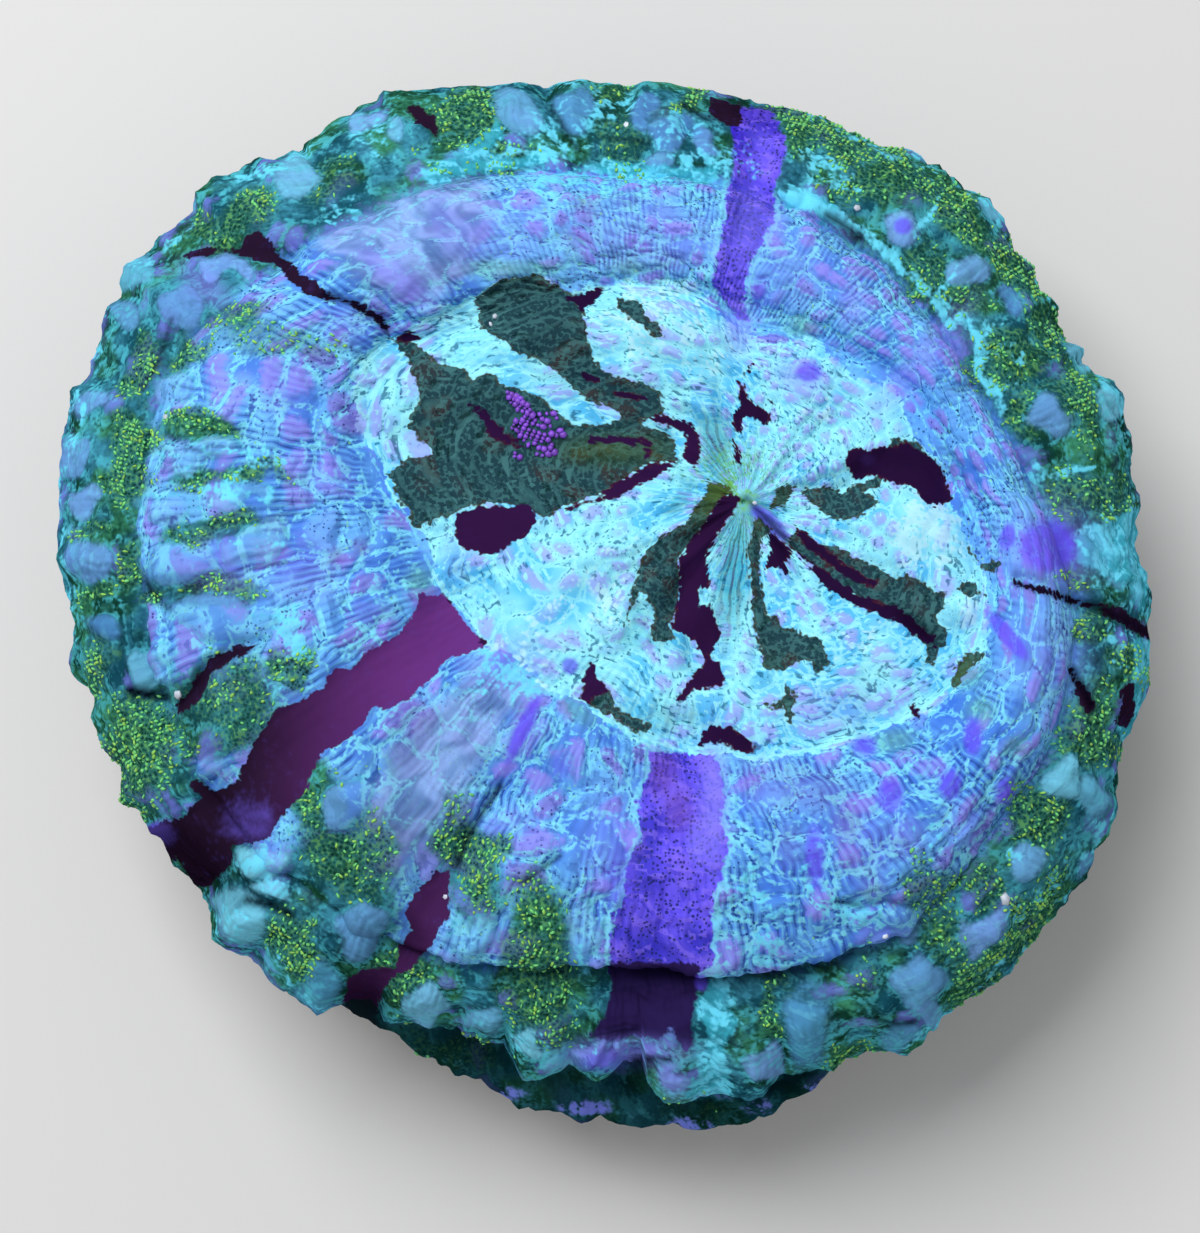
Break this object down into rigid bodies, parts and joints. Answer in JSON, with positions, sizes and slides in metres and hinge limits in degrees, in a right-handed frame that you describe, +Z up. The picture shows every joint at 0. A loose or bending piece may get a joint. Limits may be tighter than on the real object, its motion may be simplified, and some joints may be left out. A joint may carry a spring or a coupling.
{
  "type": "acanthophyllia coral",
  "caption": "Solitary fleshy coral with an off-centre mouth, swollen ridged ring, knobbed skirt and ribbed stony base cut flat",
  "frame": {"origin": "centre of the flat cut under the stony base", "axes": "+Z up out of the coral, -Y towards the front where the lower frill shows, +X to the right"},
  "size_m": [0.1156, 0.1106, 0.0479],
  "materials": {
    "coral_flesh": "wet satin living flesh: pale cyan disc, blue ring, green flecked skirt, maroon and violet bands, and a dull stony base"
  },
  "bodies": {
    "root": {"coral": "coral_flesh"}
  },
  "joints": []
}
